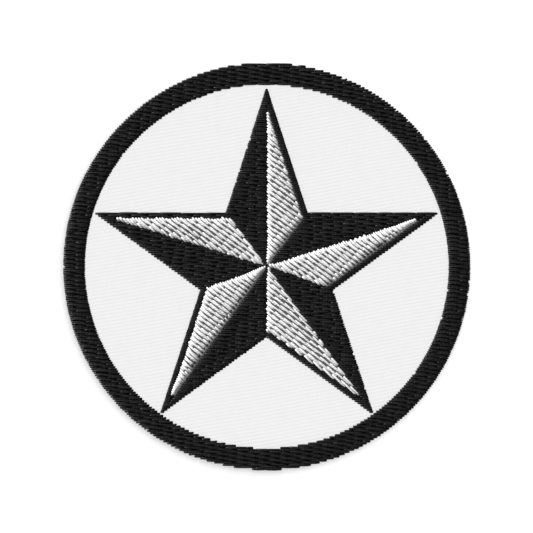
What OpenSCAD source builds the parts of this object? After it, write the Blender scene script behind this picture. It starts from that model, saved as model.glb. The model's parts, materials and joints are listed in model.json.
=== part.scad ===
// Round embroidered patch: a stiff twill disc with a ring of dark thread along its edge and a
// five-pointed compass star of dark thread, with one light facet let into each point.
// The patch lies face up. The origin is the middle of its back, and the top point is along +Y.

/* [Cloth] */
// Diameter of the patch over the border's thread
patch_d = 76.2; // [50:0.1:120]
// Thickness of the twill with the stiff backing behind it
cloth_t = 1.1; // [0.8:0.05:2]

/* [Border] */
// Width of the border, seen from the front
border_w = 3.9; // [2.5:0.1:7]
// Height of the border's thread above the cloth
border_rise = 0.6; // [0.4:0.05:1.2]
// Radius of the border's two rounded shoulders
border_shoulder_r = 0.35; // [0.1:0.05:0.35]
// Width by which the border's thread overhangs the cloth's cut edge
border_overhang = 0.1; // [0:0.05:0.5]

/* [Star] */
// Clear cloth between the star's lower points and the border
star_margin = 0.4; // [0.2:0.05:4]
// Length of the sharp tip that thread can't fill, at each point
star_tip_cut = 0.5; // [0.1:0.05:1.5]
// How far the star's outline sits below the middle of the patch
star_drop = 0.4; // [0:0.05:1]
// Height of the dark thread above the cloth
star_rise = 0.45; // [0.3:0.05:1]
// Width of the rounded shoulder round the dark thread
star_shoulder_w = 0.3; // [0.1:0.05:0.5]

/* [Light facets] */
// Width of the dark line left outside each light facet
outline_w = 0.95; // [0.6:0.05:2]
// Width at which a light facet's tip ends
facet_tip_w = 0.5; // [0.2:0.05:1.2]
// Radius of the dark middle where the facets nearly meet
facet_hub_r = 0.55; // [0.3:0.05:1.5]
// Height of the light thread above the cloth
facet_rise = 0.7; // [0.4:0.05:1.4]
// Width of the rounded shoulder round each light facet
facet_shoulder_w = 0.9; // [0.3:0.05:1.4]

/* [Hidden] */

point_count = 5;
point_pitch = 360 / point_count;
first_point = 90;
// Clearance between one stitched field and the cloth or field beside it
stitch_gap = 0.03;
// Share of a stitched field's height that stands straight before its shoulder starts
shoulder_start = 0.3;
shoulder_steps = 4;
// Length by which a cutter runs past what it cuts
overrun = 1;
round_fn = 96;

dark_thread = [0.08, 0.08, 0.085];
light_thread = [0.93, 0.93, 0.93];
twill = [0.95, 0.95, 0.94];

patch_r = patch_d / 2;
border_in_r = patch_r - border_w;
// Stitched fields stand this far above the back of the patch
seat_z = cloth_t + stitch_gap;

star_centre = [0, -star_drop];
// The star's drop brings its lower points nearest to the border, so they set its size.
lowest_point = first_point + 2 * point_pitch;
star_blunt_r = border_in_r - star_margin + star_drop * sin(lowest_point);
star_r = star_blunt_r + star_tip_cut;
// Each side of the star runs on in one line with the side of the point after next.
star_waist_r = star_r * sin(point_pitch / 4) / sin(3 * point_pitch / 4);

function polar(r, a) = r * [cos(a), sin(a)];
function point_angle(i) = first_point - point_pitch * i;
function star_tip(i) = star_centre + polar(star_r, point_angle(i));
function star_waist(i) = star_centre + polar(star_waist_r, point_angle(i) - point_pitch / 2);

// Outline of the star, counter-clockwise, with sharp points
star_outline = [
  for (i = [point_count - 1:-1:0]) each [star_waist(i), star_tip(i)]
];

function unit(v) = v / norm(v);
function to_left(v) = [-v[1], v[0]];
function cross2(a, b) = a[0] * b[1] - a[1] * b[0];
function middle(points) = [for (p = points) 1] * points / len(points);
// Where the line through p along u meets the line through q along w
function meet(p, u, q, w) = p + u * cross2(q - p, w) / cross2(u, w);

// A counter-clockwise outline with each side moved inwards by d
function inset(outline, d) = [
  for (i = [0:len(outline) - 1])
    let (
      n = len(outline),
      here = outline[i],
      before = unit(here - outline[(i + n - 1) % n]),
      after = unit(outline[(i + 1) % n] - here)
    )
    meet(here + d * to_left(before), before, here + d * to_left(after), after)
];

// Direction of the star's side that runs from an inner corner out to point i
function side_direction(i) = unit(star_tip(i) - star_waist(i));

// Where the outer line of light facet i meets the ray from the middle through p
function on_outer_line(i, p) =
  let (side = side_direction(i))
  meet([0, 0], p, star_waist(i) + outline_w * to_left(side), side);

// Outline of light facet i, counter-clockwise: the middle, the inner corner and the sharp tip
function facet_outline(i) =
  [[0, 0], on_outer_line(i, star_waist(i)), on_outer_line(i, star_tip(i))];

// Distance from the middle at which facet i is facet_tip_w wide
function facet_reach(i) =
  let (
    axis = unit(star_tip(i)),
    side = side_direction(i),
    taper = abs(cross2(axis, side)) / (axis * side)
  )
  norm(on_outer_line(i, star_tip(i))) - facet_tip_w / taper;

// A field of stitches: straight sides, then a rounded shoulder up to a flat top
module stitched_field(outline, rise, shoulder_w) {
  n = len(outline);
  height = rise - stitch_gap;
  straight = height * shoulder_start;
  levels = [
    [0, 0],
    for (k = [0:shoulder_steps])
      let (a = 90 * k / shoulder_steps)
      [shoulder_w * (1 - cos(a)), straight + (height - straight) * sin(a)]
  ];
  last = len(levels) - 1;
  centre = middle(outline);
  points = [
    for (level = levels) for (p = inset(outline, level[0])) [p[0], p[1], level[1]],
    [centre[0], centre[1], 0],
    [centre[0], centre[1], height]
  ];
  floor_middle = len(levels) * n;
  top_middle = floor_middle + 1;
  faces = [
    for (i = [0:n - 1])
      let (j = (i + 1) % n)
      each [
        for (k = [0:last - 1]) [k * n + i, (k + 1) * n + i, (k + 1) * n + j, k * n + j],
        [i, j, floor_middle],
        [last * n + j, last * n + i, top_middle]
      ]
  ];
  translate([0, 0, seat_z]) polyhedron(points, faces, convexity = 10);
}

module base_cloth() {
  color(twill)
    cylinder(r = patch_r - border_overhang, h = cloth_t, $fn = round_fn);
}

// Section of the border: flat underneath, with its two upper corners rounded
module border_section() {
  height = border_rise - stitch_gap;
  r = border_shoulder_r;
  square([border_w, height - r]);
  translate([r, 0]) square([border_w - 2 * r, height]);
  intersection() {
    square([border_w, height]);
    for (x = [r, border_w - r])
      translate([x, height - r]) circle(r = r, $fn = round_fn);
  }
}

module border() {
  color(dark_thread)
    translate([0, 0, seat_z])
    rotate_extrude($fn = round_fn)
    translate([border_in_r, 0])
    border_section();
}

module facet_window(i) {
  translate([0, 0, cloth_t - overrun])
    linear_extrude(height = star_rise + 2 * overrun)
    difference() {
      intersection() {
        polygon(inset(facet_outline(i), -stitch_gap));
        circle(r = facet_reach(i) + stitch_gap, $fn = round_fn);
      }
      circle(r = facet_hub_r - stitch_gap, $fn = round_fn);
    }
}

module star_dark() {
  color(dark_thread)
    difference() {
      intersection() {
        stitched_field(star_outline, star_rise, star_shoulder_w);
        translate([star_centre[0], star_centre[1], cloth_t])
          cylinder(r = star_blunt_r, h = star_rise + overrun, $fn = round_fn);
      }
      for (i = [0:point_count - 1]) facet_window(i);
    }
}

module light_facet(i) {
  color(light_thread)
    difference() {
      intersection() {
        stitched_field(facet_outline(i), facet_rise, facet_shoulder_w);
        translate([0, 0, cloth_t])
          cylinder(r = facet_reach(i), h = facet_rise + overrun, $fn = round_fn);
      }
      translate([0, 0, cloth_t - overrun])
        cylinder(r = facet_hub_r, h = facet_rise + 2 * overrun, $fn = round_fn);
    }
}

base_cloth();
border();
star_dark();
light_facet(0);  // facet_top
light_facet(1);  // facet_right
light_facet(2);  // facet_lower_right
light_facet(3);  // facet_lower_left
light_facet(4);  // facet_left
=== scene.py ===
"""A round embroidered patch lying face up: twill cloth, a border and a star of dark thread, and
five light facets. Every stitch of the border, the star and the facets is a strand of its own."""

import json
import math
import random

import bmesh
import bpy
import numpy as np
from mathutils import Matrix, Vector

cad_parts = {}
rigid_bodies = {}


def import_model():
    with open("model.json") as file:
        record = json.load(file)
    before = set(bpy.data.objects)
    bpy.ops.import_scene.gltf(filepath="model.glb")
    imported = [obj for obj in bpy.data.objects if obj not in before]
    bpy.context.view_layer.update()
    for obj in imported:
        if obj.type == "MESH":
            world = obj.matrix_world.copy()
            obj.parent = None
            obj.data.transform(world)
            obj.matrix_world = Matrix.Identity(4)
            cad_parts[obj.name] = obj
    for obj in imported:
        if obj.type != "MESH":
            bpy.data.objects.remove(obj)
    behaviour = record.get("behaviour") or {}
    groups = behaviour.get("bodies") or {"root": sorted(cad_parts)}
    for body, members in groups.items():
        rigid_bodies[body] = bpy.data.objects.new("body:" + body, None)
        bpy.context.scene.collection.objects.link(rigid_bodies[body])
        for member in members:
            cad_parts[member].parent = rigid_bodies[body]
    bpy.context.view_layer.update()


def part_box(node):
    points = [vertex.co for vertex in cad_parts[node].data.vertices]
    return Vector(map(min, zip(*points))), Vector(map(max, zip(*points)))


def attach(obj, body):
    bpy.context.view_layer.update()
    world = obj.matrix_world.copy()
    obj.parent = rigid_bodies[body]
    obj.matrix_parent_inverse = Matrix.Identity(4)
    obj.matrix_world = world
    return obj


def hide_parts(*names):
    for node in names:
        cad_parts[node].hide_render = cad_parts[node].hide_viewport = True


bl_info = {
    "name": "Embroidered Star Patch",
    "version": (1, 0, 0),
    "blender": (4, 5, 0),
    "location": "3D View > Sidebar > Patch",
    "description": "Builds a round twill patch with a stitched border and a stitched star",
    "category": "Add Mesh",
}

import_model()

MM = 0.001
CLOTH_LOW, CLOTH_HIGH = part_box("base_cloth")
BORDER_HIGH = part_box("border")[1]
STAR_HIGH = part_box("star_dark")[1]
FACET_NODES = ("facet_top", "facet_right", "facet_lower_right", "facet_lower_left", "facet_left")
FACET_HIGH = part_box(FACET_NODES[0])[1]
# Where each facet's rows and needle points start, in millimetres
FACET_ROWS = (0.01, 0.21, 0.37, 0.02, 0.15)
FACET_NEEDLES = (1.19, 2.13, 0.76, -0.93, -1.16)
# Width at which each facet's tip ends, as a share of the common width
FACET_TIPS = (0.6, 1.5, 0.6, 1.65, 1.1)
# How far the thread's pull draws in the clockwise and the other side of each point, in millimetres
STAR_PULL = ((0.09, 0.03), (0.07, 0), (0.18, 0), (0, 0.18), (0.02, 0.02))
# How far it draws in the root side, the outer side and the inner side of each facet
FACET_PULL = (
    (-0.27, 0.08, 0.1), (0.03, -0.13, -0.14), (0, 0.12, -0.14), (-0.07, -0.15, -0.26), (-0.02, 0, -0.19)
)

POINTS = len(FACET_NODES)
POINT_PITCH = 2 * math.pi / POINTS
FIRST_POINT = math.pi / 2
# Sides of round meshes, and points of round outlines
ROUND_SIDES = 96
LOOP_STEPS = 360
# Starts of the random numbers
CLOTH_SEED, BORDER_SEED, STAR_SEED, FACETS_SEED = 3, 11, 12, 21


def length(name, about, default, **limits):
    """A length in metres for the sidebar."""
    return bpy.props.FloatProperty(
        name=name, description=about, default=default, unit="LENGTH", precision=5, **limits
    )


def colour(name, about, default):
    """A colour for the sidebar."""
    return bpy.props.FloatVectorProperty(
        name=name, description=about, default=default, size=3, subtype="COLOR", min=0, max=1
    )


class PatchShape(bpy.types.PropertyGroup):
    """Outlines of the stitched fields."""

    border_w: length("Border width", "Width of the border", 3.9 * MM)
    star_margin: length("Star margin", "Clear cloth outside the lower points", 0.4 * MM)
    star_tip: length("Star tip", "Length of the thin tip of each point", 0.5 * MM)
    star_drop: length("Star drop", "How far the star sits below the middle", 0.4 * MM)
    outline_w: length("Outline width", "Dark line outside each light facet", 0.95 * MM)
    facet_tip_w: length("Facet tip width", "Width at which a facet's tip ends", 0.5 * MM)
    facet_hub_r: length("Hub radius", "Dark middle where the facets meet", 0.5 * MM)


class PatchThread(bpy.types.PropertyGroup):
    """The thread and the way it is laid."""

    row_pitch: length("Row pitch", "Distance from row to row", 0.4 * MM)
    stitch: length("Stitch length", "Distance between needle points", 4.0 * MM)
    shortest: length("Shortest stitch", "Least distance from a needle point to an edge", 1.1 * MM)
    width: length("Thread width", "Width of the thread as it lies", 0.45 * MM)
    height: length("Thread height", "Height of the thread as it lies", 0.24 * MM)
    slant: length("Slant", "Sideways shift of each end of a stitch", 0.2 * MM)
    arch: length("Arch", "Rise of a full stitch between its needle points", 0.31 * MM)
    dip: length("Needle dip", "Depth to which a needle point pulls the thread", 0.08 * MM)
    wander: length("Needle wander", "How far a needle point strays along its row", 0.28 * MM)
    dark: colour("Dark thread", "Colour of the border and the star", (0.0126, 0.0126, 0.0126))
    light: colour("Light thread", "Colour of the facets", (0.81, 0.81, 0.81))


class PatchCloth(bpy.types.PropertyGroup):
    """The twill."""

    rib_pitch: length("Rib pitch", "Distance from rib to rib", 0.66 * MM)
    rib_height: length("Rib height", "Height of a rib above its groove", 0.062 * MM)
    rib_angle: bpy.props.FloatProperty(
        name="Rib angle", description="Slope of the ribs", default=math.radians(10), subtype="ANGLE"
    )
    white: colour("Cloth", "Colour of the twill", (0.775, 0.775, 0.775))


class PatchStage(bpy.types.PropertyGroup):
    """Floor, light and camera."""

    view_w: length("View width", "Width of the view at the patch", 100.04 * MM)
    lens: bpy.props.FloatProperty(
        name="Lens", description="Focal length of the camera", default=135, unit="CAMERA"
    )
    floor: colour("Floor", "Colour of the floor", (0.9, 0.9, 0.9))


def polar(radius, angle):
    """A point in the plane."""
    return np.array((radius * math.cos(angle), radius * math.sin(angle)))


def unit(v):
    return v / np.linalg.norm(v)


def cross2(a, b):
    return a[0] * b[1] - a[1] * b[0]


def meet(p, u, q, w):
    """Where the line through p along u meets the line through q along w."""
    return p + u * cross2(q - p, w) / cross2(u, w)


def circle_loop(radius):
    """A circle round the middle, as a loop of points."""
    steps = np.arange(LOOP_STEPS) * 2 * math.pi / LOOP_STEPS
    return np.column_stack((np.cos(steps), np.sin(steps))) * radius


def inset_loop(loop, depth):
    """A counter-clockwise loop with its sides moved inwards, all by one depth or each by its own."""
    depth = np.broadcast_to(depth, len(loop))
    moved = []
    for k, here in enumerate(loop):
        a, b = unit(here - loop[k - 1]), unit(loop[(k + 1) % len(loop)] - here)
        left_a, left_b = np.array((-a[1], a[0])), np.array((-b[1], b[0]))
        moved.append(meet(here + depth[k - 1] * left_a, a, here + depth[k] * left_b, b))
    return np.array(moved)


class StarPlan:
    """The star's outline and the facets' outlines, worked out from the patch's sizes."""

    def __init__(self, shape):
        self.patch_r = BORDER_HIGH.x
        self.border_in_r = self.patch_r - shape.border_w
        self.centre = np.array((0, -shape.star_drop))
        lowest = FIRST_POINT + 2 * POINT_PITCH
        blunt_r = self.border_in_r - shape.star_margin + shape.star_drop * math.sin(lowest)
        self.tip_r = blunt_r + shape.star_tip
        self.waist_r = self.tip_r * math.sin(POINT_PITCH / 4) / math.sin(3 * POINT_PITCH / 4)
        self.outline_w = shape.outline_w

    def tip(self, i):
        return self.centre + polar(self.tip_r, FIRST_POINT - POINT_PITCH * i)

    def waist(self, i):
        return self.centre + polar(self.waist_r, FIRST_POINT - POINT_PITCH * (i + 0.5))

    def outline(self):
        """The star, counter-clockwise."""
        return np.array([f(i) for i in reversed(range(POINTS)) for f in (self.waist, self.tip)])

    def pulled_outline(self):
        """The star as the thread's pull leaves it."""
        return inset_loop(self.outline(), [pull * MM for pair in reversed(STAR_PULL) for pull in pair])

    def facet(self, i):
        """A facet as the thread's pull leaves it, counter-clockwise: root, inner corner and sharp tip."""
        side = unit(self.tip(i) - self.waist(i))
        start = self.waist(i) + self.outline_w * np.array((-side[1], side[0]))
        zero = np.zeros(2)
        planned = [zero, *(meet(zero, p, start, side) for p in (self.waist(i), self.tip(i)))]
        return inset_loop(np.array(planned), np.array(FACET_PULL[i]) * MM)

    def cut_facet(self, i, hub_r, tip_w):
        """A facet with its root cut at the hub and its tip cut where it is tip_w wide."""
        root, corner, tip = self.facet(i)
        axis, side, rim = unit(tip - root), unit(tip - corner), unit(corner - root)
        taper = abs(cross2(axis, side)) / abs(axis @ side)
        end = tip - axis * tip_w / taper
        across = np.array((-axis[1], axis[0]))
        low, high = (root + u * (hub_r - root @ u) for u in (rim, axis))
        return np.array([low, corner, meet(end, across, corner, side), end, high])


def edge_distance(points, loops):
    """Distance from each point to the nearest side of the loops."""
    nearest = np.full(len(points), np.inf)
    for loop in loops:
        for a, b in zip(loop, np.roll(loop, -1, 0)):
            along = b - a
            t = np.clip((points - a) @ along / (along @ along), 0, 1)
            nearest = np.minimum(nearest, np.linalg.norm(points - a - t[:, None] * along, axis=1))
    return nearest


class Field:
    """An area filled with rows of stitches.

    loops bound the area and shaping are the loops towards which it falls away. edge_z and top_z are the
    heights of the thread's middle line at the edge and further in, and shoulder is the width between.
    straight holds the lengths at a row's two ends where the thread lies straight, teeth how far the
    thread narrows and dives there, and rims the share of a stitch's arch that is left there. sag is how
    deep a row's far end lies. slant, bow and stray are shares of the common values: how far stitches
    slant, how high the thread of a short row bows and how far the needle points stray."""

    def __init__(
        self, loops, shaping, angle, first_row, first_needle, edge_z, top_z, shoulder,
        straight, teeth, rims, sag, slant, bow, stray
    ):
        self.loops, self.shaping = loops, shaping
        self.first_row, self.first_needle = first_row, first_needle
        self.edge_z, self.top_z, self.shoulder = edge_z, top_z, shoulder
        self.straight, self.teeth, self.rims, self.sag = straight, teeth, rims, sag
        self.slant, self.bow, self.stray = slant, bow, stray
        self.along = polar(1, angle)
        self.across = np.array((-self.along[1], self.along[0]))

    def spans(self, offset):
        """Stretches of the row at this offset that lie inside the loops.

        Each has two ends, and an end is its distance along the row and the outline's lean there."""
        hits = []
        for loop in self.loops:
            s, t = loop @ self.along, loop @ self.across - offset
            s_next, t_next = np.roll(s, -1), np.roll(t, -1)
            cut = (t > 0) != (t_next > 0)
            lean = (s_next[cut] - s[cut]) / (t_next[cut] - t[cut])
            hits.extend(zip(s[cut] - t[cut] * lean, lean))
        hits.sort()
        return list(zip(hits[::2], hits[1::2]))

    def rows(self, pitch):
        """Each row's number, offset and spans."""
        offsets = np.concatenate([loop @ self.across for loop in self.loops])
        first = math.ceil((offsets.min() - self.first_row) / pitch)
        last = math.floor((offsets.max() - self.first_row) / pitch)
        for number in range(first, last + 1):
            offset = self.first_row + number * pitch
            yield number, offset, self.spans(offset)

    def height(self, points):
        """Height of a relaxed thread's middle line above the cloth."""
        depth = np.clip(edge_distance(points, self.shaping) / self.shoulder, 0, 1)
        return self.edge_z + (self.top_z - self.edge_z) * (1 - (1 - depth) ** 2)


# Rows may stop short of the outline where it leans less than this
SHORT_LEAN = 0.8
# Shortest row, as a share of the thread's width
SHORTEST_ROW = 0.7
# Closest that a stray needle point comes to a row's end, as a share of the shortest stitch
NEEDLE_ROOM = 0.8


def short_end(rng, lean, share, by):
    """How far a row stops short of the outline, which it does now and then."""
    return rng.uniform(*by) if rng.random() < share * (abs(lean) < SHORT_LEAN) else 0


def lay_rows(field, thread, rng, end_jitter, short_share=0, short_by=(0, 0)):
    """Every stitch of a field: its start and end, its row's offset, the needle point before its middle,
    its row's two ends and the outline's lean at each of them."""
    room = NEEDLE_ROOM * thread.shortest
    stitches = []
    for number, offset, spans in field.rows(thread.row_pitch):
        for (low, low_lean), (high, high_lean) in spans:
            low += rng.uniform(-1, 1) * end_jitter
            high += rng.uniform(-1, 1) * end_jitter
            if high - low > thread.stitch / 2:
                low += short_end(rng, low_lean, short_share, short_by)
                high -= short_end(rng, high_lean, short_share, short_by)
            if high - low < SHORTEST_ROW * thread.width:
                continue
            phase = (number % 2) / 2 + field.first_needle / thread.stitch
            first = math.ceil((low + thread.shortest) / thread.stitch - phase)
            last = math.floor((high - thread.shortest) / thread.stitch - phase)
            needles = [low]
            for k in range(first, last + 1):
                point = (k + phase) * thread.stitch + rng.gauss(0, 1) * thread.wander * field.stray
                needles.append(min(max(point, low + room), high - room))
            needles.append(high)
            for start, end in zip(needles, needles[1:]):
                before = math.floor((start + end) / 2 / thread.stitch - phase)
                needle = (before + phase) * thread.stitch
                stitches.append((start, end, offset, needle, low, high, low_lean, high_lean))
    return np.array(stitches)


# Sides of a strand, and its cross-sections from end to end
SIDES = 6
SECTIONS = 11
# Distances from a stitch's end to its first cross-sections
END_STEPS = np.array((0, 0.1, 0.28, 0.6, 1.2)) * MM
# At those sections: share of the width and of the height
END_WIDTH = np.array((0.55, 0.64, 0.78, 0.95, 1))
END_HEIGHT = np.array((0.85, 1, 1, 1, 1))
# At those sections: how deep the thread dives at the end of a row
END_DIVE = np.array((0.14, 0.04, 0, 0, 0)) * MM
# Stitches at least this many times as long as the last of those distances keep them all
FULL_STEPS = 2.6
# Length over which a needle point pulls the thread down
DIP_LENGTH = END_STEPS[2]
# Rows shorter than the first length are satin, and rows longer than the second are full
SATIN_ROW, FULL_ROW = 1.4 * MM, 2.3 * MM
# How far a stitch's width and slant vary, as shares of them
WIDTH_SPREAD, SLANT_SPREAD = 0.12, 0.2
# How far a stitch's height and sideways place vary: as a whole, and from section to section
LIFT_SPREADS = (0.04 * MM, 0.012 * MM)
SWAY_SPREADS = (0.02 * MM, 0.015 * MM)
# Distance from an edge at which stitches start to slant, and the distance from there to a full slant
SLANT_START, SLANT_RUN = 0.3 * MM, 0.8 * MM
# Farthest that a section slants, in half stitches, and the steepest outline that a slant follows
MAX_REACH, MAX_LEAN = 1.2, 2
# For satin and for full rows: place of a stitch's crest, power of its curve, and share of its arch
CRESTS = (0.12, 0.4)
CURVES = (1.7, 2.5)
ARCHES = (1.7, 1)
# How much deeper a satin stitch ends than it starts, as a share of its arch
SATIN_FALL = 0.9
# Power with which the arch grows with a stitch's length
ARCH_GROWTH = 0.6
# How soon above a field's edge stitches arch in full
ARCH_ROOM = 1.6
# Length of a row's far end that sags
SAG_LENGTH = 1.8 * MM
# Shares of the unevenness, the needle dip and the narrowing that are left at a field's edges
EDGE_LIFT, EDGE_DIP, EDGE_NARROW = 0.3, 0.3, 0.2


def both_ends(values, middle):
    """Values from one end, in the middle, and back to the other end."""
    return np.concatenate((values, [middle], values[::-1]))


def blend(pair, share):
    """A value between a pair's first and second."""
    return pair[0] + (pair[1] - pair[0]) * share


def draws(rng, rows, columns):
    """A table of normal random numbers."""
    return np.array([[rng.gauss(0, 1) for _ in range(columns)] for _ in range(rows)])


def built_mesh(bm, name):
    """What was built, as a mesh."""
    mesh = bpy.data.meshes.new(name)
    bm.to_mesh(mesh)
    bm.free()
    return mesh


def add_object(name, data):
    """An object in the scene, at the origin."""
    obj = bpy.data.objects.new(name, data)
    bpy.context.scene.collection.objects.link(obj)
    return obj


def unit_strands(count):
    """A row of straight closed tubes along X, one unit long and two units apart."""
    bm = bmesh.new()
    bmesh.ops.create_cone(bm, cap_ends=True, segments=SIDES, radius1=1, radius2=1, depth=1)
    turn = Matrix.Translation((0.5, 0, 0)) @ Matrix.Rotation(math.pi / 2, 4, "Y")
    bmesh.ops.transform(bm, matrix=turn, verts=bm.verts)
    for k in range(1, SECTIONS - 1):
        geom = bm.verts[:] + bm.edges[:] + bm.faces[:]
        place = (k / (SECTIONS - 1), 0, 0)
        bmesh.ops.bisect_plane(bm, geom=geom, plane_co=place, plane_no=(1, 0, 0))
    layer = bm.loops.layers.uv.new("strand")
    for face in bm.faces:
        face.smooth = abs(face.normal.x) < 0.5
        middle = face.calc_center_median()
        around = math.atan2(middle.z, middle.y)
        for loop in face.loops:
            co = loop.vert.co
            turn = math.remainder(math.atan2(co.z, co.y) - around, 2 * math.pi)
            loop[layer].uv = (co.x, (around + turn) / (2 * math.pi) + 0.5)
    mesh = built_mesh(bm, "unit_strand")
    strand = add_object("unit_strand", mesh)
    array = strand.modifiers.new("row", "ARRAY")
    array.count = count
    array.use_relative_offset = False
    array.use_constant_offset = True
    array.constant_offset_displace = (2, 0, 0)
    evaluated = strand.evaluated_get(bpy.context.evaluated_depsgraph_get())
    result = bpy.data.meshes.new_from_object(evaluated)
    bpy.data.objects.remove(strand)
    bpy.data.meshes.remove(mesh)
    return result


class Strands:
    """The strands of a field, with a row for each stitch and a column for each of its sections.

    ahead is the share of the stitch that lies before a section, and clear the share of the full slant
    that it takes. free says whether its nearer end is a needle point inside the field, and teeth is how
    far it narrows and dives at its row's end. s is its place along the row, flat its point in the plane
    and z its height."""

    def __init__(self, field, stitches, thread, rng):
        start, end, offset, needle, low, high, low_lean, high_lean = stitches.T[:, :, None]
        count = len(stitches)
        spread = draws(rng, count, 4)
        uneven = draws(rng, 2 * count, SECTIONS).reshape(2, count, -1)
        self.field, self.thread = field, thread
        self.span = end - start
        self.first, self.last = start <= low, end >= high
        self.long_row = np.clip((high - low - SATIN_ROW) / (FULL_ROW - SATIN_ROW), 0, 1)
        widening = WIDTH_SPREAD * blend((1, spread[:, :1]), self.long_row)
        self.half_width = thread.width / 2 * (1 + widening)

        steps = END_STEPS * np.minimum(1, self.span / (FULL_STEPS * END_STEPS[-1]))
        s = np.concatenate((start + steps, (start + end) / 2, end - steps[:, ::-1]), 1)
        self.ahead = np.clip((s - start) / self.span, 0, 1)
        self.free = np.where(self.ahead < 0.5, ~self.first, ~self.last)
        self.teeth = np.where(self.ahead < 0.5, *field.teeth)

        middles = (start + end) / 2 * field.along + offset * field.across
        inside = (edge_distance(middles, field.shaping) - SLANT_START) / SLANT_RUN
        self.clear = np.clip(inside, 0, 1)[:, None]
        for edge, straight in zip((s - low, high - s), field.straight):
            self.clear = self.clear * np.clip(2 * edge / straight - 1, 0, 1)
        self.clear = self.clear * self.long_row
        slant = field.slant * thread.slant * (1 + SLANT_SPREAD * spread[:, 3:])
        reach = np.clip(2 * (s - needle) / thread.stitch - 1, -MAX_REACH, MAX_REACH)
        sway = SWAY_SPREADS[0] * spread[:, 2:3] + SWAY_SPREADS[1] * uneven[1]
        side = self.clear * (slant * reach + sway)
        low_follow = np.clip(low_lean, -MAX_LEAN, MAX_LEAN) * self.first * (1 - self.ahead)
        high_follow = np.clip(high_lean, -MAX_LEAN, MAX_LEAN) * self.last * self.ahead
        self.s = s + side * (low_follow + high_follow)
        self.flat = self.s[..., None] * field.along + (offset + side)[..., None] * field.across

        relaxed = field.height(self.flat.reshape(-1, 2)).reshape(s.shape)
        lift = LIFT_SPREADS[0] * spread[:, 1:2] + LIFT_SPREADS[1] * uneven[0]
        raised = relaxed + blend((EDGE_LIFT, 1), self.clear) * lift
        self.z = raised - self.sunk(relaxed, high - self.s) + CLOTH_HIGH.z

    def arch(self):
        """How deep each section lies below its stitch's crest."""
        field, thread, long_row = self.field, self.thread, self.long_row
        crest = blend(CRESTS, long_row)
        before, behind = self.ahead / crest - 1, (self.ahead - crest) / (1 - crest)
        own = np.where(self.ahead < crest, before, behind)
        fall = 1 + SATIN_FALL * (own > 0) * (1 - long_row)
        bow = np.abs(own) ** blend(CURVES, long_row) * fall - (1 - long_row)
        low_rim, high_rim = (
            np.where(at_end, rim, 1) for at_end, rim in zip((self.first, self.last), field.rims)
        )
        rims = np.where(own < 0, low_rim, high_rim)
        share = blend((field.bow, 1), long_row) * blend(ARCHES, long_row) * blend((1, rims), long_row)
        return thread.arch * np.minimum(1, self.span / thread.stitch) ** ARCH_GROWTH * bow * share

    def sunk(self, relaxed, to_end):
        """How deep each section lies below a relaxed thread."""
        near = np.minimum(self.ahead, 1 - self.ahead) * self.span / DIP_LENGTH
        dip = self.thread.dip * np.clip(1 - near, 0, 1) ** 2 * blend((EDGE_DIP, 1), self.free)
        dive = np.where(self.free, 0, self.teeth * both_ends(END_DIVE, 0))
        sag = self.field.sag * np.clip(1 - to_end / SAG_LENGTH, 0, 1) ** 2
        room = np.clip(ARCH_ROOM * relaxed / self.field.top_z, 0, 1)
        return (self.arch() + dip) * room + dive + sag


def strand_mesh(field, stitches, thread, rng):
    """The field's stitches as one mesh of closed strands."""
    strands = Strands(field, stitches, thread, rng)
    rise = np.gradient(strands.z, axis=1) / np.gradient(strands.s, axis=1)
    lean = 1 / np.sqrt(1 + rise**2)
    share = np.where(strands.free, blend((EDGE_NARROW, 1), strands.clear), strands.teeth)
    half_width = strands.half_width * (1 - (1 - both_ends(END_WIDTH, 1)) * share)
    half_height = thread.height / 2 * both_ends(END_HEIGHT, 1)

    mesh = unit_strands(len(stitches))
    co = np.empty(len(mesh.vertices) * 3, np.float32)
    mesh.vertices.foreach_get("co", co)
    co = co.reshape(-1, 3).astype(float)
    copy = np.floor((co[:, 0] + 0.5) / 2).astype(int)
    section = np.rint((co[:, 0] - 2 * copy) * (SECTIONS - 1)).astype(int)
    at = (copy, section)
    wide = half_width[at] * co[:, 1]
    high = half_height[section] * co[:, 2]
    back = -rise[at] * lean[at] * high
    placed = np.empty_like(co)
    placed[:, :2] = strands.flat[at] + wide[:, None] * field.across + back[:, None] * field.along
    placed[:, 2] = strands.z[at] + lean[at] * high
    mesh.vertices.foreach_set("co", placed.astype(np.float32).ravel())

    loops = np.empty(len(mesh.loops), np.int32)
    mesh.loops.foreach_get("vertex_index", loops)
    uv = np.empty(len(mesh.loops) * 2, np.float32)
    mesh.uv_layers["strand"].data.foreach_get("uv", uv)
    uv = uv.reshape(-1, 2)
    uv[:, 0] = strands.s[at][loops] / MM
    uv[:, 1] += 2 * copy[loops]
    mesh.uv_layers["strand"].data.foreach_set("uv", uv.ravel())
    mesh.update()
    return mesh


def pad_mesh(loop, low, edge, high, slope_w):
    """A pad with a loop for its outline, which rises from its edge's height to its middle's."""
    bm = bmesh.new()
    verts = [bm.verts.new((x, y, low)) for x, y in loop]
    face = bm.faces.new(verts)
    raised = bmesh.ops.extrude_face_region(bm, geom=[face])["geom"]
    lifted = [v for v in raised if isinstance(v, bmesh.types.BMVert)]
    bmesh.ops.translate(bm, vec=(0, 0, edge - low), verts=lifted)
    bmesh.ops.recalc_face_normals(bm, faces=bm.faces)
    top = [f for f in bm.faces if f.normal.z > 0.5]
    bmesh.ops.inset_individual(bm, faces=top, thickness=slope_w, depth=high - edge)
    return built_mesh(bm, "pad")


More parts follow.
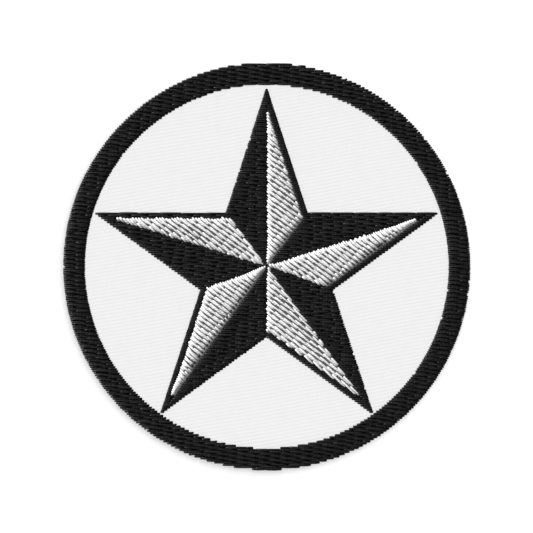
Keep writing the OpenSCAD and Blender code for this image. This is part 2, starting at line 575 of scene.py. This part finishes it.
def ring_mesh(inner_r, outer_r, low, edge, high, slope_w):
    """A ring that rises from the height of its two edges to that of its middle."""
    bm = bmesh.new()
    corners = (
        (inner_r, low), (outer_r, low), (outer_r, edge),
        (outer_r - slope_w, high), (inner_r + slope_w, high), (inner_r, edge),
    )
    verts = [bm.verts.new((r, 0, z)) for r, z in corners]
    edges = [bm.edges.new((a, b)) for a, b in zip(verts, verts[1:] + verts[:1])]
    bmesh.ops.spin(
        bm, geom=verts + edges, axis=(0, 0, 1), angle=2 * math.pi,
        steps=ROUND_SIDES, use_merge=True, use_duplicate=False
    )
    bmesh.ops.remove_doubles(bm, verts=bm.verts, dist=0.001 * MM)
    bmesh.ops.recalc_face_normals(bm, faces=bm.faces)
    return built_mesh(bm, "ring")


def joined(name, meshes, materials):
    """One object of several meshes, each with the material that has its number."""
    bm = bmesh.new()
    for number, mesh in enumerate(meshes):
        old = len(bm.faces)
        bm.from_mesh(mesh)
        bm.faces.ensure_lookup_table()
        for face in bm.faces[old:]:
            face.material_index = min(number, len(materials) - 1)
        bpy.data.meshes.remove(mesh)
    mesh = built_mesh(bm, name)
    for material in materials:
        mesh.materials.append(material)
    return add_object(name, mesh)


def dress(obj, slot, *nodes):
    """Makes a piece ride on the patch in place of its CAD nodes."""
    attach(obj, "root")
    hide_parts(*nodes)


class NodeTree:
    """Short calls for adding and linking nodes."""

    def __init__(self, tree):
        self.tree = tree

    def add(self, kind, inputs=(), **settings):
        """A node with its settings and inputs. An input is a socket or a plain value."""
        node = self.tree.nodes.new(kind)
        for key, value in settings.items():
            setattr(node, key, value)
        for key, value in dict(inputs).items():
            if isinstance(value, bpy.types.NodeSocket):
                self.tree.links.new(value, node.inputs[key])
            else:
                node.inputs[key].default_value = value
        return node

    def maths(self, operation, *values):
        """A math node's result."""
        return self.add("ShaderNodeMath", dict(enumerate(values)), operation=operation).outputs[0]

    def wave(self, turns):
        """A wave between 0 and 1 that peaks at every whole turn."""
        angle = self.maths("MULTIPLY", turns, 2 * math.pi)
        return self.maths("MULTIPLY_ADD", self.maths("COSINE", angle), 0.5, 0.5)

    def noise(self, vector, scale, detail):
        """A noise texture's value."""
        inputs = {"Vector": vector, "Scale": scale, "Detail": detail}
        return self.add("ShaderNodeTexNoise", inputs).outputs["Fac"]

    def between(self, factor, first, second):
        """A colour between two."""
        inputs = {"Factor": factor, 6: (*first, 1), 7: (*second, 1)}
        return self.add("ShaderNodeMix", inputs, data_type="RGBA").outputs[2]

    def surface(self, colour, roughness, height, strength, depth, more=()):
        """The material's Principled shader, with bumps of a strength and a depth."""
        normal = self.add("ShaderNodeBump", {"Height": height, "Strength": strength, "Distance": depth})
        inputs = {"Base Color": colour, "Roughness": roughness, "Normal": normal.outputs[0]}
        shader = self.add("ShaderNodeBsdfPrincipled", {**inputs, **dict(more)})
        self.add("ShaderNodeOutputMaterial", {"Surface": shader.outputs[0]})


def new_group(name, inputs, outputs):
    """The node tree of a new group with named inputs, each with its default, and named outputs."""
    group = bpy.data.node_groups.new(name, "ShaderNodeTree")
    for label, default in inputs:
        socket = group.interface.new_socket(label, in_out="INPUT", socket_type="NodeSocketFloat")
        socket.default_value = default
    for label in outputs:
        group.interface.new_socket(label, in_out="OUTPUT", socket_type="NodeSocketFloat")
    return NodeTree(group)


def new_material(name):
    """A new material and its empty node tree."""
    material = bpy.data.materials.new(name)
    material.use_nodes = True
    t = NodeTree(material.node_tree)
    t.tree.nodes.clear()
    return material, t


def twist_group():
    """Plies of a twisted thread and the loose fibres on it, from the strand's own UV map."""
    old = bpy.data.node_groups.get("thread_twist")
    if old:
        return old
    inputs = (("Ply pitch", 0.55), ("Plies", 2.0), ("Fibre scale", 14.0))
    t = new_group("thread_twist", inputs, ("Height", "Groove", "Tone"))
    given = t.add("NodeGroupInput").outputs
    uv = t.add("ShaderNodeUVMap", uv_map="strand").outputs[0]
    parts = t.add("ShaderNodeSeparateXYZ", {0: uv}).outputs
    turns = t.maths("DIVIDE", parts["X"], given["Ply pitch"])
    around = t.maths("MULTIPLY", parts["Y"], given["Plies"])
    wound = t.maths("ADD", turns, around)
    ply = t.wave(wound)
    groove = t.maths("POWER", t.maths("SUBTRACT", 1, ply), 3)
    slanted = t.add("ShaderNodeCombineXYZ", {"X": turns, "Y": t.maths("MULTIPLY", wound, 6)}).outputs[0]
    fibres = t.noise(slanted, scale=given["Fibre scale"], detail=2.0)
    # A tone for each whole strand, and slow changes of it along the strand
    number = t.maths("FLOOR", t.maths("MULTIPLY_ADD", parts["Y"], 0.5, 0.25))
    whole = t.add("ShaderNodeTexWhiteNoise", {"W": number}, noise_dimensions="1D").outputs["Value"]
    place = t.maths("MULTIPLY_ADD", number, 31, parts["X"])
    stretch = {"W": place, "Scale": 2.6, "Detail": 1.0}
    part = t.add("ShaderNodeTexNoise", stretch, noise_dimensions="1D").outputs["Fac"]
    tone = t.maths("MULTIPLY_ADD", part, 2.2, t.maths("MULTIPLY_ADD", whole, 0.5, -0.85))
    height = t.maths("MULTIPLY_ADD", fibres, 0.35, ply)
    t.add("NodeGroupOutput", {"Height": height, "Groove": groove, "Tone": tone})
    return t.tree


def thread_material(name, base, groove_shade, unevenness, roughness, bump, ior):
    """Satin thread: twisted plies, fine fibres, slow changes of tone and painted shade in the ply
    grooves.
    """
    old = bpy.data.materials.get(name)
    if old:
        return old
    material, t = new_material(name)
    twist = t.add("ShaderNodeGroup", node_tree=twist_group()).outputs
    # Painted shade: the grooves between the plies get a darker share of the base colour
    toned = t.between(twist["Groove"], base, [c * groove_shade for c in base])
    shade = t.maths("MULTIPLY_ADD", twist["Tone"], 2 * unevenness, 1 - unevenness)
    shaded = t.add("ShaderNodeHueSaturation", {"Value": shade, "Color": toned}).outputs[0]
    rough = t.maths("MULTIPLY_ADD", twist["Tone"], 0.2, roughness - 0.1)
    t.surface(shaded, rough, twist["Height"], strength=bump, depth=0.02 * MM, more={"IOR": ior})
    return material


def rows_group():
    """Rows of thread lying side by side, from the object's own place."""
    old = bpy.data.node_groups.get("thread_rows")
    if old:
        return old
    t = new_group("thread_rows", (("Row pitch", 0.4 * MM), ("Angle", 0.0)), ("Height", "Groove"))
    given = t.add("NodeGroupInput").outputs
    place = t.add("ShaderNodeTexCoord").outputs["Object"]
    turn = {"Vector": place, "Angle": given["Angle"]}
    turned = t.add("ShaderNodeVectorRotate", turn, rotation_type="Z_AXIS").outputs[0]
    parts = t.add("ShaderNodeSeparateXYZ", {0: turned}).outputs
    across = t.maths("DIVIDE", parts["Y"], given["Row pitch"])
    along = t.maths("DIVIDE", parts["X"], given["Row pitch"])
    row = t.wave(across)
    spot = t.add("ShaderNodeCombineXYZ", {"X": along, "Y": t.maths("MULTIPLY", across, 8)}).outputs[0]
    fibres = t.noise(spot, scale=1.5, detail=2.0)
    groove = t.maths("POWER", t.maths("SUBTRACT", 1, row), 2)
    height = t.maths("MULTIPLY_ADD", fibres, 0.4, row)
    t.add("NodeGroupOutput", {"Height": height, "Groove": groove})
    return t.tree


def underlay_material(name, base, angle, ior):
    """Rows of thread below the top stitches, in a base colour darkened as painted shade, with deeper
    painted shade between the rows.
    """
    old = bpy.data.materials.get(name)
    if old:
        return old
    material, t = new_material(name)
    rows = t.add("ShaderNodeGroup", {"Angle": angle}, node_tree=rows_group()).outputs
    # Painted shade in the grooves between the rows
    toned = t.between(rows["Groove"], base, [c * 0.45 for c in base])
    rough = t.maths("MULTIPLY_ADD", rows["Groove"], 0.2, 0.55)
    t.surface(toned, rough, rows["Height"], strength=0.8, depth=0.12 * MM, more={"IOR": ior})
    return material


def cloth_material(settings):
    """Matt twill: slanting yarns on ribs that the mesh already has."""
    material, t = new_material("twill_weave")
    place = t.add("ShaderNodeTexCoord").outputs["Object"]
    turn = {"Vector": place, "Rotation": (0, 0, -settings.rib_angle)}
    turned = t.add("ShaderNodeMapping", turn).outputs[0]
    parts = t.add("ShaderNodeSeparateXYZ", {0: turned}).outputs
    across = t.maths("DIVIDE", parts["Y"], settings.rib_pitch)
    along = t.maths("DIVIDE", parts["X"], settings.rib_pitch)
    yarn = t.wave(t.maths("ADD", t.maths("MULTIPLY", along, 2.2), across))
    fuzz = t.noise(place, scale=6000.0, detail=3.0)
    tone = t.noise(place, scale=700.0, detail=2.0)
    toned = t.between(tone, [c * 0.95 for c in settings.white], settings.white)
    rough = t.maths("MULTIPLY_ADD", fuzz, 0.1, 0.82)
    height = t.maths("MULTIPLY_ADD", fuzz, 0.5, yarn)
    t.surface(toned, rough, height, strength=0.35, depth=0.02 * MM, more={"Sheen Weight": 0.1})
    return material


def backing_material():
    """The stiff backing: pale, dull and a little mottled."""
    material, t = new_material("backing")
    place = t.add("ShaderNodeTexCoord").outputs["Object"]
    cells = t.add("ShaderNodeTexVoronoi", {"Vector": place, "Scale": 1400.0}).outputs["Distance"]
    fuzz = t.noise(place, scale=2500.0, detail=3.0)
    toned = t.between(fuzz, (0.62, 0.62, 0.61), (0.78, 0.78, 0.77))
    rough = t.maths("MULTIPLY_ADD", fuzz, 0.2, 0.55)
    height = t.maths("MULTIPLY_ADD", fuzz, 0.6, cells)
    t.surface(toned, rough, height, strength=0.4, depth=0.05 * MM)
    return material


# Grid lines across each rib, and along the ribs
RIB_LINES, ALONG_LINES = 6, 60
# Waves in which the ribs drift: their length, and their size as a share of the rib pitch
RIB_DRIFTS = ((9 * MM, 0.12), (3.1 * MM, 0.08))
# Power that makes the ribs broad and the grooves between them narrow
RIB_POWER = 0.6


def ribbed_grid(settings, radius, top):
    """A square of ribbed cloth, a little wider than the disc that is cut from it."""
    bm = bmesh.new()
    across = int(2 * radius / settings.rib_pitch * RIB_LINES) + 2 * RIB_LINES
    bmesh.ops.create_grid(bm, x_segments=ALONG_LINES, y_segments=across, size=radius * 1.04)
    rng = random.Random(CLOTH_SEED)
    drifts = [(reach, size, rng.uniform(0, 2 * math.pi)) for reach, size in RIB_DRIFTS]
    for v in bm.verts:
        drift = sum(size * math.sin(v.co.x / reach + start) for reach, size, start in drifts)
        wave = 0.5 - 0.5 * math.cos(2 * math.pi * (v.co.y / settings.rib_pitch + drift))
        v.co.z = top - settings.rib_height * (1 - wave**RIB_POWER)
    turn = Matrix.Rotation(settings.rib_angle, 3, "Z")
    bmesh.ops.rotate(bm, cent=(0, 0, 0), matrix=turn, verts=bm.verts)
    return bm


class PATCH_OT_cloth(bpy.types.Operator):
    """Build the round twill cloth with its backing"""

    bl_idname = "patch.cloth"
    bl_label = "Twill Cloth"
    bl_options = {"REGISTER", "UNDO"}

    def execute(self, context):
        settings = context.scene.patch_cloth
        radius, low = CLOTH_HIGH.x, CLOTH_LOW.z
        bm = ribbed_grid(settings, radius, CLOTH_HIGH.z)
        for k in range(ROUND_SIDES):
            out = polar(1, (k + 0.5) * 2 * math.pi / ROUND_SIDES)
            at = out * radius * math.cos(math.pi / ROUND_SIDES)
            geom = bm.verts[:] + bm.edges[:] + bm.faces[:]
            bmesh.ops.bisect_plane(
                bm, geom=geom, plane_co=(*at, 0), plane_no=(*out, 0), clear_outer=True
            )
        bmesh.ops.remove_doubles(bm, verts=bm.verts, dist=0.002 * MM)
        for face in bm.faces:
            face.smooth = True
        rim = [e for e in bm.edges if e.is_boundary]
        walls = bmesh.ops.extrude_edge_only(bm, edges=rim)["geom"]
        for v in walls:
            if isinstance(v, bmesh.types.BMVert):
                v.co.z = low
        low_rim = [e for e in walls if isinstance(e, bmesh.types.BMEdge) and e.is_boundary]
        bottom = bmesh.ops.contextual_create(bm, geom=low_rim)["faces"]
        bottom = bmesh.ops.poke(bm, faces=bottom)["faces"]
        for face in [f for f in walls if isinstance(f, bmesh.types.BMFace)] + bottom:
            face.material_index = 1
            face.smooth = False
        bmesh.ops.recalc_face_normals(bm, faces=bm.faces)
        mesh = built_mesh(bm, "twill_cloth")
        mesh.materials.append(cloth_material(settings))
        mesh.materials.append(backing_material())
        obj = add_object("twill_cloth", mesh)
        dress(obj, "white_twill", "base_cloth")
        return {"FINISHED"}


# Laying of the border's and the star's stitches
DARK_STITCHES = {
    "straight": (0.8 * MM, 0.8 * MM), "teeth": (0.35, 0.4), "rims": (0.35, 1), "bow": 0.15, "sag": 0,
}
BORDER_STITCHES = {
    **DARK_STITCHES, "slant": -1.0, "stray": 0.6, "edge_z": 0.32 * MM, "shoulder": 1.9 * MM,
}
STAR_STITCHES = {
    **DARK_STITCHES, "slant": -0.5, "stray": 1, "edge_z": 0.26 * MM, "shoulder": 1.1 * MM,
}
# Laying of the facets' stitches
FACET_STITCHES = {
    "straight": (1.0 * MM, 0.5 * MM), "teeth": (0.85, 0.1), "rims": (1, 1), "bow": 1, "sag": 0.18 * MM,
    "slant": 1, "stray": 0.3, "edge_z": 0.34 * MM, "shoulder": 3.4 * MM,
}
# Width at which the tip of a facet's lower pad ends, at the least
LEAST_PAD_W = 0.6 * MM
# Where the rows of the border and the star start
DARK_FIRST_ROW = 0.3 * MM
# Bottom of the dark underlay, just clear of the cloth's ribs
UNDERLAY_LOW = CLOTH_HIGH.z + 0.01 * MM


def dark_materials(thread):
    """The dark strands, and the underlay below them in the thread's colour darkened as painted shade."""
    strands = thread_material(
        "dark_strands", tuple(thread.dark), groove_shade=0.5, unevenness=0.35, roughness=0.42,
        bump=0.7, ior=1.25
    )
    # The underlay's colour: the dark thread's, darkened as painted shade
    shaded = [c * 0.6 for c in thread.dark]
    return [strands, underlay_material("dark_underlay", shaded, angle=0, ior=1.1)]


def light_materials(thread):
    """The light strands, and the underlay below them in the thread's colour darkened as painted shade."""
    strands = thread_material(
        "light_strands", tuple(thread.light), groove_shade=0.75, unevenness=0.1, roughness=0.4,
        bump=0.9, ior=1.45
    )
    # The underlay's colour: the light thread's, darkened to a dark grey as painted shade in the gaps
    # between the strands
    shaded = [c * 0.14 for c in thread.light]
    return [strands, underlay_material("light_underlay", shaded, angle=math.pi / 4, ior=1.2)]


class PATCH_OT_border(bpy.types.Operator):
    """Stitch the border along the edge of the cloth"""

    bl_idname = "patch.border"
    bl_label = "Border Stitches"
    bl_options = {"REGISTER", "UNDO"}

    def execute(self, context):
        scene = context.scene
        thread = scene.patch_thread
        plan = StarPlan(scene.patch_shape)
        loops = [circle_loop(plan.patch_r + 0.1 * MM), circle_loop(plan.border_in_r)]
        field = Field(
            loops, loops, angle=0, first_row=DARK_FIRST_ROW, first_needle=0,
            top_z=BORDER_HIGH.z - CLOTH_HIGH.z - thread.height / 2, **BORDER_STITCHES
        )
        rng = random.Random(BORDER_SEED)
        stitches = lay_rows(
            field, thread, rng, end_jitter=0.03 * MM, short_share=0.03, short_by=(0.15 * MM, 0.35 * MM)
        )
        strands = strand_mesh(field, stitches, thread, rng)
        # A ring of underlay below the strands, in its darkened colour: painted shade that shows between
        # the strands
        pad = ring_mesh(
            inner_r=plan.border_in_r + 0.2 * MM, outer_r=plan.patch_r - 0.25 * MM, low=UNDERLAY_LOW,
            edge=CLOTH_HIGH.z + 0.22 * MM, high=BORDER_HIGH.z - 0.85 * thread.height, slope_w=1.3 * MM
        )
        obj = joined("border_stitches", [strands, pad], dark_materials(thread))
        dress(obj, "dark_thread", "border")
        return {"FINISHED"}


class PATCH_OT_star(bpy.types.Operator):
    """Stitch the dark star"""

    bl_idname = "patch.star"
    bl_label = "Star Stitches"
    bl_options = {"REGISTER", "UNDO"}

    def execute(self, context):
        scene = context.scene
        thread = scene.patch_thread
        plan = StarPlan(scene.patch_shape)
        outline = plan.pulled_outline()
        outer = inset_loop(outline, depth=-0.1 * MM)
        windows = [inset_loop(plan.facet(i), depth=0.12 * MM) for i in range(POINTS)]
        field = Field(
            [outer, *windows], [outer], angle=0, first_row=DARK_FIRST_ROW, first_needle=0,
            top_z=STAR_HIGH.z - CLOTH_HIGH.z - thread.height / 2, **STAR_STITCHES
        )
        rng = random.Random(STAR_SEED)
        stitches = lay_rows(
            field, thread, rng, end_jitter=0.03 * MM, short_share=0.03, short_by=(0.15 * MM, 0.3 * MM)
        )
        strands = strand_mesh(field, stitches, thread, rng)
        # A pad of underlay below the strands, in its darkened colour: painted shade that shows between
        # the strands
        pad = pad_mesh(
            inset_loop(outline, depth=0.15 * MM), low=UNDERLAY_LOW, edge=CLOTH_HIGH.z + 0.18 * MM,
            high=STAR_HIGH.z - 0.8 * thread.height, slope_w=0.7 * MM
        )
        obj = joined("star_stitches", [strands, pad], dark_materials(thread))
        dress(obj, "dark_thread", "star_dark")
        return {"FINISHED"}


class PATCH_OT_facets(bpy.types.Operator):
    """Stitch the light facet on each point of the star"""

    bl_idname = "patch.facets"
    bl_label = "Light Facets"
    bl_options = {"REGISTER", "UNDO"}

    def execute(self, context):
        scene = context.scene
        thread = scene.patch_thread
        shape = scene.patch_shape
        plan = StarPlan(shape)
        low = STAR_HIGH.z - 2 * thread.height
        for i, node in enumerate(FACET_NODES):
            tip_w = shape.facet_tip_w * FACET_TIPS[i]
            loop = inset_loop(plan.cut_facet(i, shape.facet_hub_r, tip_w), depth=-0.06 * MM)
            field = Field(
                [loop], [plan.facet(i)], angle=-math.pi / 4, first_row=FACET_ROWS[i] * MM,
                first_needle=FACET_NEEDLES[i] * MM,
                top_z=FACET_HIGH.z - CLOTH_HIGH.z - thread.height / 2, **FACET_STITCHES
            )
            rng = random.Random(FACETS_SEED + i)
            stitches = lay_rows(field, thread, rng, end_jitter=0.05 * MM)
            strands = strand_mesh(field, stitches, thread, rng)
            wide = plan.cut_facet(i, 2 * shape.facet_hub_r, max(tip_w, LEAST_PAD_W))
            # Two pads below the strands in the dark grey underlay colour: a sheet of painted shade that
            # shows in the gaps between the strands
            pads = [
                pad_mesh(
                    inset_loop(wide, depth=0.18 * MM), low, edge=CLOTH_HIGH.z + 0.27 * MM,
                    high=CLOTH_HIGH.z + 0.29 * MM, slope_w=0.1 * MM
                ),
                pad_mesh(
                    inset_loop(plan.facet(i), depth=0.7 * MM), low, edge=CLOTH_HIGH.z + 0.38 * MM,
                    high=FACET_HIGH.z - thread.height, slope_w=0.9 * MM
                ),
            ]
            obj = joined(node + "_stitches", [strands, *pads], light_materials(thread))
            dress(obj, "light_thread", node)
        return {"FINISHED"}


# Suns: name, azimuth, elevation, light on a level surface, spread, and the ending of what they light
SUNS = (
    ("key", 145, 25, 0.94, 12, "_stitches"),
    ("top", 62, 68, 0.94, 100, "floor"),
    ("overhead", 90, 78, 0.94, 20, "twill_cloth"),
)
# Even light from all round
WORLD_LIGHT = 0.22
FLOOR_SIZE = 3
# Place of the camera to the side of the patch's middle
CAMERA_SHIFT = (-0.06 * MM, -0.04 * MM)


def add_sun(name, azimuth, elevation, strength, spread, ending):
    """A distant soft light on the objects whose names have this ending."""
    light = bpy.data.lights.new(name, "SUN")
    light.energy = strength * math.pi / math.sin(math.radians(elevation))
    light.angle = math.radians(spread)
    lit = bpy.data.collections.new(name + "_side")
    for obj in bpy.context.scene.objects:
        if obj.name.endswith(ending):
            lit.objects.link(obj)
    lamp = add_object(name, light)
    lamp.rotation_euler = (0, math.radians(90 - elevation), math.radians(azimuth))
    lamp.light_linking.receiver_collection = lit


def floor_material(colour):
    """The pale floor."""
    material = bpy.data.materials.new("floor")
    material.use_nodes = True
    inputs = material.node_tree.nodes["Principled BSDF"].inputs
    inputs["Base Color"].default_value = (*colour, 1)
    inputs["Roughness"].default_value = 0.9
    inputs["Specular IOR Level"].default_value = 0.1
    inputs["Emission Color"].default_value = (1, 1, 1, 1)
    inputs["Emission Strength"].default_value = 0.07
    return material


class PATCH_OT_stage(bpy.types.Operator):
    """Set up the floor, the light and the camera"""

    bl_idname = "patch.stage"
    bl_label = "Stage"
    bl_options = {"REGISTER", "UNDO"}

    def execute(self, context):
        scene = context.scene
        settings = scene.patch_stage
        bm = bmesh.new()
        bmesh.ops.create_grid(bm, x_segments=2, y_segments=2, size=FLOOR_SIZE)
        mesh = built_mesh(bm, "floor")
        mesh.materials.append(floor_material(settings.floor))
        floor = add_object("floor", mesh)

        world = bpy.data.worlds.new("studio")
        world.use_nodes = True
        background = world.node_tree.nodes["Background"].inputs
        background["Color"].default_value = (1, 1, 1, 1)
        background["Strength"].default_value = WORLD_LIGHT
        scene.world = world
        for sun in SUNS:
            add_sun(*sun)

        camera = bpy.data.cameras.new("camera")
        camera.lens = settings.lens
        camera.sensor_width = 36
        camera.clip_start = 0.01
        holder = add_object("camera", camera)
        distance = settings.view_w * settings.lens / camera.sensor_width
        holder.location = (*CAMERA_SHIFT, STAR_HIGH.z + distance)
        scene.camera = holder
        scene.view_settings.view_transform = "Standard"
        return {"FINISHED"}


class VIEW3D_PT_patch(bpy.types.Panel):
    """The patch's settings and its building steps"""

    bl_label = "Embroidered Patch"
    bl_space_type = "VIEW_3D"
    bl_region_type = "UI"
    bl_category = "Patch"

    def draw(self, context):
        for group, steps in STEPS:
            settings = getattr(context.scene, group)
            box = self.layout.box()
            for name in settings.__annotations__:
                box.prop(settings, name)
            for step in steps:
                box.operator(step.bl_idname)


STEPS = (
    ("patch_stage", (PATCH_OT_stage,)),
    ("patch_cloth", (PATCH_OT_cloth,)),
    ("patch_shape", ()),
    ("patch_thread", (PATCH_OT_border, PATCH_OT_star, PATCH_OT_facets)),
)
GROUPS = {
    "patch_shape": PatchShape,
    "patch_thread": PatchThread,
    "patch_cloth": PatchCloth,
    "patch_stage": PatchStage,
}
CLASSES = (
    *GROUPS.values(),
    PATCH_OT_cloth,
    PATCH_OT_border,
    PATCH_OT_star,
    PATCH_OT_facets,
    PATCH_OT_stage,
    VIEW3D_PT_patch,
)


def register():
    for cls in CLASSES:
        bpy.utils.register_class(cls)
    for name, cls in GROUPS.items():
        setattr(bpy.types.Scene, name, bpy.props.PointerProperty(type=cls))


def unregister():
    for name in GROUPS:
        delattr(bpy.types.Scene, name)
    for cls in reversed(CLASSES):
        bpy.utils.unregister_class(cls)


def main():
    register()
    bpy.ops.patch.cloth()
    bpy.ops.patch.border()
    bpy.ops.patch.star()
    bpy.ops.patch.facets()
    bpy.ops.patch.stage()


if __name__ == "__main__":
    main()
